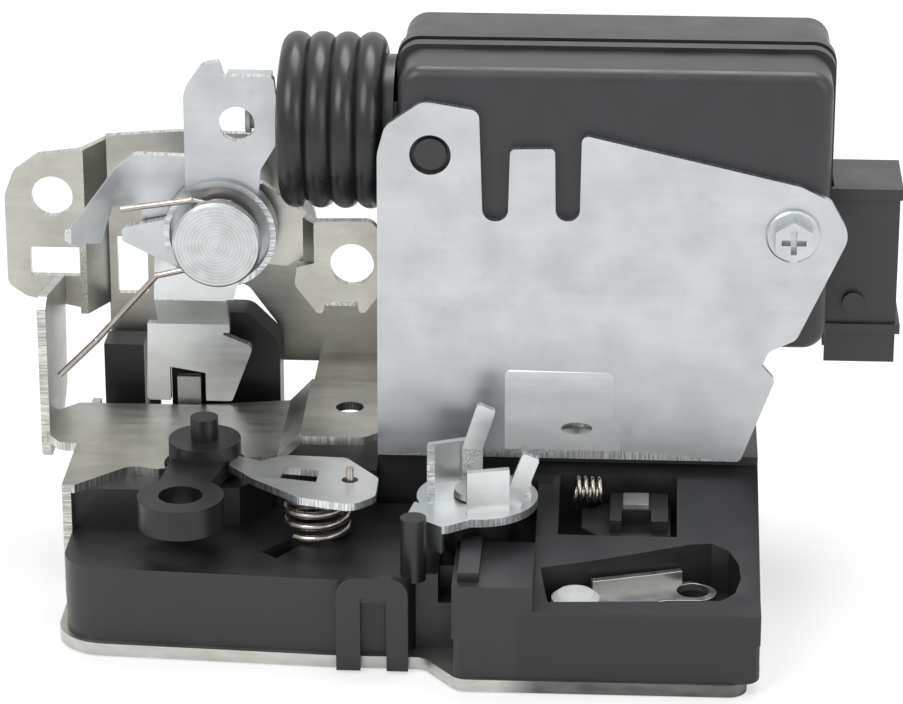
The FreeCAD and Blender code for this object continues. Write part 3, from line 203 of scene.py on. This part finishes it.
def housing_finish():
    """The body's plastic, with painted shade that darkens the floors of the sunk places, which are also
    rougher.
    """
    color, painted_recess_shade = (0.0115, 0.0115, 0.013), (0.0016, 0.0016, 0.0018)
    finish = moulded("plastic_housing", color, 0.36, 0.2, 0.5)
    x, y, z = finish.along()
    # Mask of the sunk places: right of x 11 mm, behind the front and below the deck. It carries painted shade
    # that darkens their floors.
    right = finish.spread(x, 11 * MM, 12 * MM)
    behind_front = finish.spread(y, -31.5 * MM, -30.5 * MM)
    below_deck = finish.spread(z, 12.2 * MM, 13.4 * MM, 1.0, 0.0)
    sunk = right * behind_front * below_deck
    sheen = finish.noise(5 * MM, 3)
    plain = finish.mix(finish.spread(sheen, 0.3, 0.7), shade(color, 0.85), shade(color, 1.15))
    # Painted shade: the sunk places take a near-black colour.
    finish.set(base_color=finish.mix(sunk, plain, painted_recess_shade))
    finish.set(roughness=0.3 + sheen * 0.16 + sunk * 0.22)
    return finish


def plate_finish():
    """Edge of the face plate: smooth rolled steel, duller along its right half."""
    finish = Finish("plate_edge", metallic=1.0, roughness=0.34)
    x = finish.along()[0]
    cloud = finish.noise(1.4 * MM, 3, finish.stretched((0.3, 1, 1)))
    tone = finish.spread(cloud, 0.3, 0.7)
    bright = finish.mix(tone, (0.48, 0.475, 0.45), (0.6, 0.595, 0.57))
    dull = finish.mix(tone, (0.1, 0.1, 0.095), (0.17, 0.17, 0.16))
    right = finish.spread(x + cloud * 3 * MM, 10 * MM, 16 * MM)
    finish.set(base_color=finish.mix(right, bright, dull))
    return finish.bump(cloud, 0.2, 0.02 * MM)


def turned_finish():
    """Turned head of the stud: fine rings of the tool about its axis."""
    finish = Finish("steel_rings", metallic=1.0)
    centred = finish.node("Mapping", {}, {0: finish.place, "Location": (37.4 * MM, 0, -56 * MM)})
    turning = {"wave_type": "RINGS", "rings_direction": "Y"}
    rings = finish.node("TexWave", turning, {"Vector": centred, "Scale": 560, "Distortion": 0.6, "Detail": 2})
    stain = finish.noise(2.2 * MM, 4)
    tone = finish.spread(rings * 0.22 + stain * 0.78, 0.25, 0.75)
    finish.set(base_color=finish.mix(tone, (0.4, 0.41, 0.41), (0.56, 0.58, 0.59)))
    finish.set(roughness=finish.spread(tone, 0, 1, 0.42, 0.28))
    return finish.bump(rings, 0.12, 0.02 * MM)


def rubber_finish():
    """Rubber of the bellows: nearly black under a thin glossy film."""
    finish = Finish("rubber_black", specular_ior_level=0.42)
    film = finish.noise(3 * MM, 4)
    finish.set(base_color=finish.mix(film, (0.006, 0.006, 0.007), (0.016, 0.016, 0.018)))
    finish.set(roughness=finish.spread(film, 0.3, 0.7, 0.24, 0.4))
    return finish.bump(finish.noise(0.4 * MM, 2), 0.15, 0.02 * MM)


def wire_finish():
    """Drawn spring wire, browned here and there by its tempering."""
    finish = Finish("wire_drawn", metallic=1.0)
    heat = finish.noise(2.2 * MM, 3)
    finish.set(base_color=finish.mix(heat, (0.30, 0.27, 0.235), (0.50, 0.47, 0.43)))
    finish.set(roughness=finish.spread(heat, 0.3, 0.7, 0.2, 0.34))
    return finish.bump(finish.noise(0.12 * MM, 2), 0.2, 0.01 * MM)


def steel_finish(name="steel_plain", color=(0.42, 0.42, 0.41), rough=0.36):
    """Plain metal with soft stains."""
    finish = Finish(name, metallic=1.0)
    stain = finish.noise(2.4 * MM, 5)
    finish.set(base_color=finish.mix(stain, shade(color, 0.7), shade(color, 1.2)))
    finish.set(roughness=finish.spread(stain, 0.3, 0.7, rough - 0.08, rough + 0.1))
    return finish.bump(finish.noise(0.18 * MM, 2), 0.25, 0.02 * MM)


def nylon_finish():
    """Pale nylon, slightly milky."""
    finish = Finish("nylon_white", subsurface_weight=0.15)
    finish.surface.inputs["Subsurface Radius"].default_value = (0.0006, 0.0006, 0.0006)
    cloud = finish.noise(1.6 * MM, 4)
    finish.set(base_color=finish.mix(cloud, (0.36, 0.37, 0.37), (0.52, 0.53, 0.53)))
    finish.set(roughness=finish.spread(cloud, 0.3, 0.7, 0.4, 0.55))
    return finish.bump(finish.noise(0.35 * MM, 3), 0.3, 0.03 * MM)


BRIGHT = (0.49, 0.51, 0.52)
OLIVE = (0.46, 0.455, 0.42)
finishes = {
    "bright_zinc": zinc("zinc_bright", BRIGHT, 0.36, 0.13, 0.18),
    "pale_zinc": zinc("zinc_pale", (0.66, 0.68, 0.68), 0.34, 0.1, 0.2),
    "olive_zinc": zinc("zinc_olive", OLIVE, 0.36, 0.2, 0.35),
    "bare_steel": steel_finish(),
    "turned_steel": turned_finish(),
    "spring_wire": wire_finish(),
    "black_plastic": moulded("plastic_black", (0.0105, 0.0105, 0.012), 0.36, 0.2, 0.38),
    "grey_plastic": moulded("plastic_grey", (0.019, 0.0188, 0.0215), 0.4, 0.26, 0.5),
    "housing_plastic": housing_finish(),
    "plate_edge": plate_finish(),
    "rubber": rubber_finish(),
    "white_nylon": nylon_finish(),
    "tinned_brass": steel_finish("brass_tinned", (0.62, 0.57, 0.46), 0.3),
}
edges = [cut_edge("cut_edge_" + axis, (0.52, 0.515, 0.49), axis) for axis in "xyz"]
bright_edges = [cut_edge("bright_edge_" + axis, (0.58, 0.6, 0.61), axis) for axis in "xyz"]

# ---------------------------------------------------------------- pieces


SHARP_DEGREES = 32
BROKEN_DEGREES = 35
THICKNESS_SLACK = 1.15
CRANK_FOLD_Z = 62 * MM
AXES = [Vector((1, 0, 0)), Vector((0, 1, 0)), Vector((0, 0, 1))]
# nodes whose finish differs from the plain one of their slot
FACE_OF = {
    "link_plate": "pale_zinc",
    "key_crank": "pale_zinc",
    "release_lever": "pale_zinc",
    "latch_housing": "housing_plastic",
}


def copy_of(node):
    """A merged copy of a solid's mesh."""
    work = bmesh.new()
    work.from_mesh(nodes[node].data)
    bmesh.ops.remove_doubles(work, verts=work.verts, dist=0.002 * MM)
    return work


def mark_sharp(work):
    """Marks the sharp edges, so that flat faces stay flat."""
    for edge in work.edges:
        if len(edge.link_faces) == 2:
            edge.smooth = edge.calc_face_angle(0) < math.radians(SHARP_DEGREES)


def put_on(node, work, edge_finishes, bevel, rides=True):
    """Makes the copy a piece that stands for its solid, with its edges softly broken."""
    mark_sharp(work)
    name = node + "_skin"
    mesh = bpy.data.meshes.new(name)
    work.to_mesh(mesh)
    work.free()
    piece = bpy.data.objects.new(name, mesh)
    bpy.context.scene.collection.objects.link(piece)
    face_finish = finishes[FACE_OF.get(node, slot_of[node])]
    for finish in [face_finish] + edge_finishes:
        mesh.materials.append(finish.material)
    if bevel:
        broken = piece.modifiers.new("broken_edges", "BEVEL")
        broken.width = bevel * MM
        broken.segments = 2
        broken.limit_method = "ANGLE"
        broken.angle_limit = math.radians(BROKEN_DEGREES)
        broken.use_clamp_overlap = True
        broken.harden_normals = True
    for face in mesh.polygons:
        face.use_smooth = True
    if rides:
        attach(piece, body_of[node])
    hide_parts(node)
    return piece


def reach(tree, start, direction):
    """How far the metal goes on from a point in a direction."""
    hit = tree.ray_cast(start + direction * 0.002 * MM, direction)
    return 1.0 if hit[3] is None else hit[3]


def cut_axis(tree, node, face, thick):
    """The axis across the sheet if the face is a cut edge, and otherwise None."""
    centre = face.calc_center_median()
    if reach(tree, centre, -face.normal) <= thick * THICKNESS_SLACK:
        return None
    if node == "lock_crank" and centre.z > CRANK_FOLD_Z and face.normal.y < -0.5:
        return None
    inside = centre - face.normal * thick * 0.3
    spans = [reach(tree, inside, axis) + reach(tree, inside, -axis) for axis in AXES]
    axis = spans.index(min(spans))
    places = [vert.co[axis] for vert in face.verts]
    return axis if max(places) - min(places) < thick * THICKNESS_SLACK else None


def dress_sheets():
    """Sheet metal: its cut edges get the ridges of the shear."""
    for node, thick, edge_set in (
        ("frame_plate", 1.4, edges),
        ("face_plate", 2.0, [finishes["plate_edge"]] * 3),
        ("outside_lever", 1.6, edges),
        ("toggle_lever", 1.2, edges),
        ("bracket_plate", 1.5, bright_edges),
        ("lock_crank", 1.6, bright_edges),
        ("inside_lever", 1.6, bright_edges),
        ("release_lever", 1.6, bright_edges),
        ("link_plate", 1.2, bright_edges),
        ("key_crank", 1.3, bright_edges),
        ("pawl", 1.5, bright_edges),
    ):
        work = copy_of(node)
        tree = BVHTree.FromBMesh(work)
        for face in work.faces:
            axis = cut_axis(tree, node, face, thick * MM)
            if axis is not None:
                face.material_index = 1 + axis
        put_on(node, work, edge_set, 0.12)


def dress_solids():
    """Mouldings and turned pieces: softly broken edges."""
    for node, bevel in (
        ("latch_housing", 0.25),
        ("actuator_case", 0.5),
        ("actuator_cover", 0.5),
        ("connector_shroud", 0.3),
        ("ring_lever", 0.35),
        ("locking_slide", 0.2),
        ("slide_clip", 0.1),
        ("toggle_rivet", 0.3),
        ("bracket_screw", 0.2),
        ("plunger", 0.2),
        ("striker_bumper", 0.4),
        ("fork", 0.3),
        ("pivot_stud", 0.3),
    ):
        put_on(node, copy_of(node), [], bevel)


def dress_springs():
    """Springs on their solids: the detent spring with its place baked into its mesh and no body, the slide
    spring with a mesh of its own.
    """
    detent = put_on("detent_spring", copy_of("detent_spring"), [], 0, False)
    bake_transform(detent)
    pressed = put_on("slide_spring", copy_of("slide_spring"), [], 0)
    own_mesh(pressed)


def finish_solids():
    """The solids that stay get the finish of their slot."""
    for name, node in nodes.items():
        if not node.hide_render:
            node.data.materials.clear()
            node.data.materials.append(finishes[slot_of[name]].material)
            for face in node.data.polygons:
                face.material_index = 0


dress_sheets()
dress_solids()
dress_springs()
finish_solids()

# ---------------------------------------------------------------- set and camera


def soft_light(name, place, aim, size, power):
    lamp = bpy.data.lights.new(name, "AREA")
    lamp.shape = "RECTANGLE"
    lamp.size, lamp.size_y = size
    lamp.energy = power
    light = bpy.data.objects.new(name, lamp)
    bpy.context.scene.collection.objects.link(light)
    light.location = place
    light.rotation_euler = (Vector(aim) - Vector(place)).to_track_quat("-Z", "Y").to_euler()
    return light


def make_set():
    """Pale floor, white surroundings and soft studio lamps."""
    floor = bmesh.new()
    bmesh.ops.create_grid(floor, x_segments=1, y_segments=1, size=3)
    mesh = bpy.data.meshes.new("floor")
    floor.to_mesh(mesh)
    floor.free()
    plane = bpy.data.objects.new("floor", mesh)
    bpy.context.scene.collection.objects.link(plane)
    plane.location = (0, 0, -0.0002)
    paper = Finish("paper_white", base_color=(0.86, 0.86, 0.86, 1), roughness=0.9)
    output = paper.tree.nodes["Material Output"]
    glow = paper.tree.nodes.new("ShaderNodeEmission")
    blend = paper.tree.nodes.new("ShaderNodeMixShader")
    path = paper.node("LightPath", out="Is Camera Ray")
    paper.tree.links.new((path * 0.62).socket, blend.inputs[0])
    paper.tree.links.new(paper.surface.outputs[0], blend.inputs[1])
    paper.tree.links.new(glow.outputs[0], blend.inputs[2])
    paper.tree.links.new(blend.outputs[0], output.inputs[0])
    mesh.materials.append(paper.material)

    world = bpy.data.worlds.new("studio")
    bpy.context.scene.world = world
    world.use_nodes = True
    tree = world.node_tree
    tree.nodes.clear()
    seen, back = tree.nodes.new("ShaderNodeBackground"), tree.nodes.new("ShaderNodeBackground")
    back.inputs["Color"].default_value = (1, 1, 1, 1)
    back.inputs["Strength"].default_value = 0.55
    seen.inputs["Strength"].default_value = 1.0
    seen.inputs["Color"].default_value = (1, 1, 1, 1)
    rays = tree.nodes.new("ShaderNodeLightPath")
    either = tree.nodes.new("ShaderNodeMath")
    either.operation = "MAXIMUM"
    tree.links.new(rays.outputs["Is Camera Ray"], either.inputs[0])
    tree.links.new(rays.outputs["Is Glossy Ray"], either.inputs[1])
    every = tree.nodes.new("ShaderNodeMath")
    every.operation = "MAXIMUM"
    tree.links.new(either.outputs[0], every.inputs[0])
    tree.links.new(rays.outputs["Is Transmission Ray"], every.inputs[1])
    mixed, output = tree.nodes.new("ShaderNodeMixShader"), tree.nodes.new("ShaderNodeOutputWorld")
    tree.links.new(every.outputs[0], mixed.inputs[0])
    tree.links.new(back.outputs[0], mixed.inputs[1])
    tree.links.new(seen.outputs[0], mixed.inputs[2])
    tree.links.new(mixed.outputs[0], output.inputs[0])

    soft_light("key_softbox", (-0.45, -0.55, 0.75), (0, 0, 0.04), (0.5, 0.5), 5)
    soft_light("fill_softbox", (0.6, -0.5, 0.35), (0, 0, 0.04), (0.4, 0.5), 1.6)
    soft_light("top_softbox", (0.1, 0.25, 0.9), (0, 0, 0.04), (0.7, 0.5), 7)


def make_camera():
    """The photograph's view: 21.5 degrees down, 3 degrees to the right."""
    data = bpy.data.cameras.new("view")
    data.sensor_width = 36
    data.lens = 154.33
    data.clip_start = 0.01
    camera = bpy.data.objects.new("view", data)
    bpy.context.scene.collection.objects.link(camera)
    camera.location = (0.029217, -0.557486, 0.262655)
    aim = Vector((0, 0, 0.042754)) - camera.location
    camera.rotation_euler = aim.to_track_quat("-Z", "Y").to_euler()
    bpy.context.scene.camera = camera


make_set()
make_camera()
bpy.context.scene.view_settings.view_transform = "Standard"
